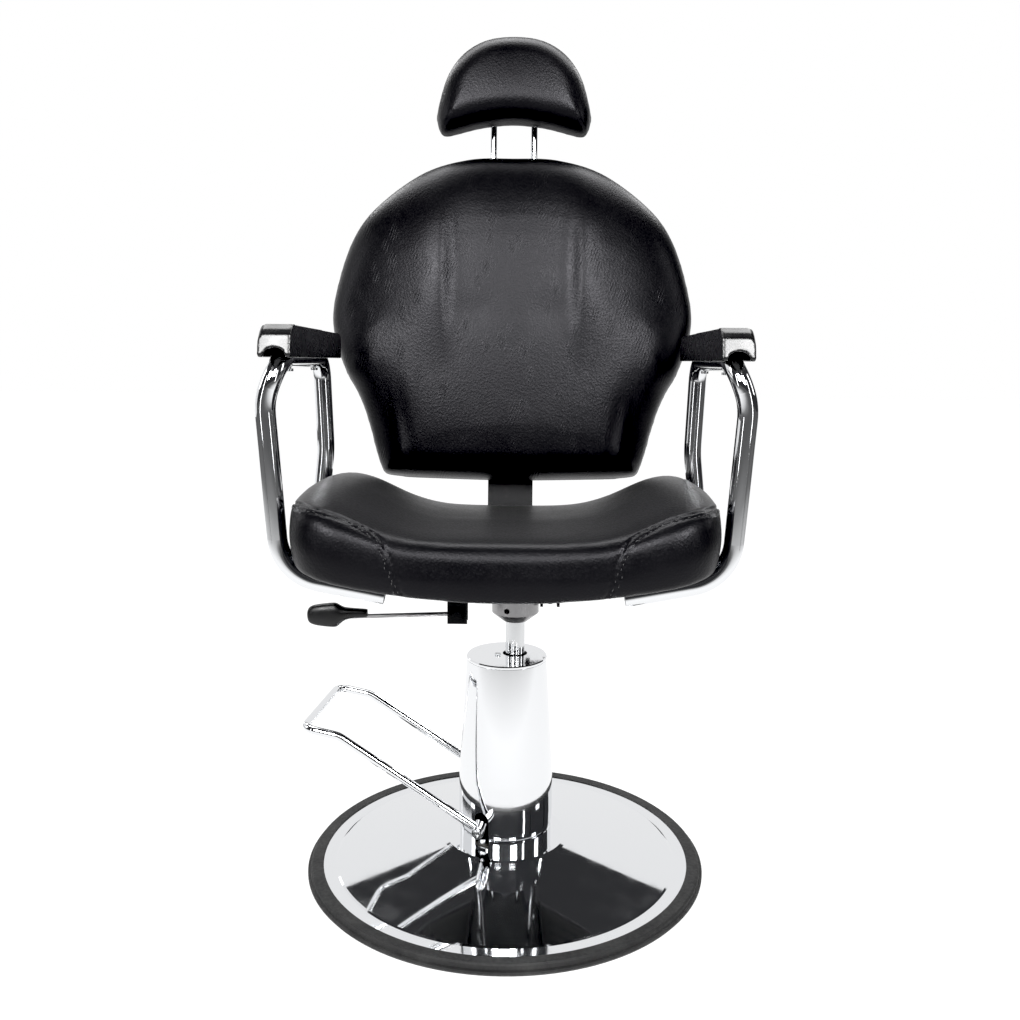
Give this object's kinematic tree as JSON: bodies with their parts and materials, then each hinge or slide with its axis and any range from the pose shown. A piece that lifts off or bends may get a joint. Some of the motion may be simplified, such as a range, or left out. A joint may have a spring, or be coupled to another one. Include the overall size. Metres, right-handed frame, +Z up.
{
  "type": "barber chair",
  "caption": "Hydraulic barber chair with round chrome base, foot pedal, tubular armrests, dished seat, reclining back and height-adjustable headrest.",
  "frame": {"origin": "on the floor at the centre of the round base", "axes": "+Z up, the sitter faces -Y, +X is the sitter's left"},
  "size_m": [0.6054, 0.6339, 1.2434],
  "materials": {
    "chrome": "mirror polished",
    "polished_steel": "ground and polished",
    "bare_steel": "machined",
    "zinc_fasteners": "zinc plated",
    "black_steel": "semi-gloss powder coat",
    "cast_iron": "as cast, machined faces",
    "brass": "machined",
    "rubber": "satin",
    "plywood": "raw",
    "black_vinyl": "satin embossed vinyl over foam",
    "arm_pad_plastic": "satin moulded",
    "black_plastic": "satin"
  },
  "bodies": {
    "base": {"base_dome": "chrome", "base_trim_ring": "rubber", "base_hub_plate": "bare_steel", "flange_bolts": "zinc_fasteners", "flange_washers": "zinc_fasteners", "flange_nuts": "zinc_fasteners", "pump_block": "cast_iron", "pump_reservoir": "black_steel", "lift_cylinder": "bare_steel", "pump_head": "bare_steel", "ram_wiper_seal": "rubber", "collar_ring": "chrome", "column_shroud": "chrome", "shroud_cap": "chrome", "cap_screw": "polished_steel"},
    "plunger": {"pump_plunger": "bare_steel"},
    "pedal": {"pedal_shaft": "polished_steel", "pedal_cam": "bare_steel", "pedal_bosses": "chrome", "pedal_end_screws": "polished_steel", "pedal_bail": "chrome"},
    "ram": {"ram": "polished_steel", "ram_piston": "bare_steel", "thrust_washer": "brass"},
    "seat": {"swivel_socket": "bare_steel", "mechanism_plate": "black_steel", "mechanism_bolts": "zinc_fasteners", "mechanism_spacers": "zinc_fasteners", "seat_board": "plywood", "seat_cushion": "black_vinyl", "arm_tube_left": "chrome", "arm_tube_right": "chrome", "arm_pad_left": "arm_pad_plastic", "arm_pad_right": "arm_pad_plastic", "arm_pad_screws": "polished_steel", "arm_foot_bolts": "zinc_fasteners", "arm_tube_plugs": "black_plastic", "hinge_cheeks": "black_steel", "hinge_pin": "bare_steel", "strut_cylinder": "black_steel", "strut_anchor": "black_steel", "strut_anchor_pin": "bare_steel", "lever_bracket": "black_steel", "lever_pivot": "black_steel"},
    "strut_rod": {"strut_rod": "bare_steel"},
    "lever": {"lever_rod": "bare_steel", "lever_grip": "black_plastic"},
    "backrest": {"back_ears": "black_steel", "crank_pin": "bare_steel", "back_cushion": "black_vinyl", "back_board": "plywood", "back_bar": "black_steel", "back_screws": "zinc_fasteners", "headrest_guide": "black_plastic"},
    "lock_knob": {"headrest_knob": "black_plastic"},
    "headrest": {"headrest_posts": "chrome", "headrest_clamps": "black_steel", "headrest_cushion": "black_vinyl", "headrest_board": "plywood"}
  },
  "joints": [
    {"name": "pedal_press", "type": "hinge", "parent": "base", "child": "pedal", "pos_m": [-0.02581, 0.00317, 0.09], "axis": [-0.1219, -0.9925, 0], "range_deg": [0, 28], "stiffness_Nm_per_rad": 5, "springref_deg": -34.38},
    {"name": "plunger_stroke", "type": "slide", "parent": "base", "child": "plunger", "axis": [0, 0, -1], "range_m": [0, 0.0095]},
    {"name": "seat_lift", "type": "slide", "parent": "base", "child": "ram", "axis": [0, 0, 1], "range_m": [-0.045, 0.12]},
    {"name": "seat_swivel", "type": "hinge", "parent": "ram", "child": "seat", "pos_m": [0.012, 0.006, 0.43], "axis": [0, 0, 1], "continuous": true},
    {"name": "back_recline", "type": "hinge", "parent": "seat", "child": "backrest", "pos_m": [0, 0.205, 0.44], "axis": [-1, 0, 0], "range_deg": [0, 38]},
    {"name": "strut_stroke", "type": "slide", "parent": "seat", "child": "strut_rod", "axis": [0, -1, 0], "range_m": [0, 0.0198]},
    {"name": "lever_pull", "type": "hinge", "parent": "seat", "child": "lever", "pos_m": [-0.07, -0.03, 0.3955], "axis": [0, 1, 0], "range_deg": [0, 14], "stiffness_Nm_per_rad": 1.5, "springref_deg": -17.19},
    {"name": "headrest_height", "type": "slide", "parent": "backrest", "child": "headrest", "axis": [0, 0.1392, 0.9903], "range_m": [-0.025, 0.09]},
    {"name": "knob_turn", "type": "hinge", "parent": "backrest", "child": "lock_knob", "pos_m": [0, 0.32577, 0.94006], "axis": [0, 0.9903, -0.1392], "range_deg": [0, 180]}
  ],
  "couplings": [
    {"joint": "plunger_stroke", "follows": "pedal_press", "m_per_rad": 0.0185},
    {"joint": "strut_stroke", "follows": "back_recline", "m_per_rad": 0.02945}
  ]
}
